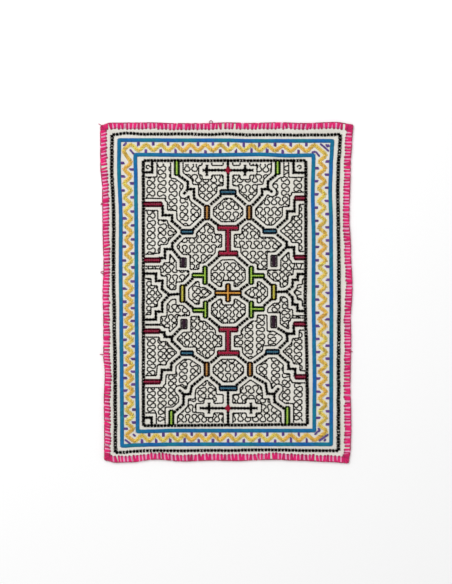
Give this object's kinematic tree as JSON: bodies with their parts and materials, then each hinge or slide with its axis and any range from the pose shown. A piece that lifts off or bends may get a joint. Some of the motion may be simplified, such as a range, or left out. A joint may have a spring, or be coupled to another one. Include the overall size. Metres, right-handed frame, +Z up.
{
  "type": "embroidered cloth",
  "caption": "Rectangular cotton cloth that lies flat, covered in geometric Shipibo line embroidery, with banded borders, a thick border line and a pink overcast edge.",
  "frame": {"origin": "on the surface that the cloth lies on, under the middle of its box", "axes": "+Y along the cloth's length towards the picture's top, +X along its width towards the picture's right, +Z up out of its embroidered face"},
  "size_m": [0.38, 0.5118, 0.0039],
  "materials": {
    "cotton": "undyed plain-woven cotton, matt, embroidered in black and coloured thread",
    "yarn": "bright pink spun yarn, matt with a slight sheen, stitched over the hem",
    "black_thread": "black cotton embroidery thread, matt, of the border, frame, line network and looping filling",
    "blue_thread": "blue cotton embroidery thread that turns teal in stretches, matt",
    "yellow_thread": "yellow cotton embroidery thread with orange and olive stretches, matt",
    "purple_thread": "purple cotton embroidery thread, matt",
    "bar_thread": "crimson, green, orange, teal and dark purple cotton thread of the short bars, matt"
  },
  "bodies": {
    "root": {"ground_cloth": "cotton", "edging": "yarn"}
  },
  "joints": []
}
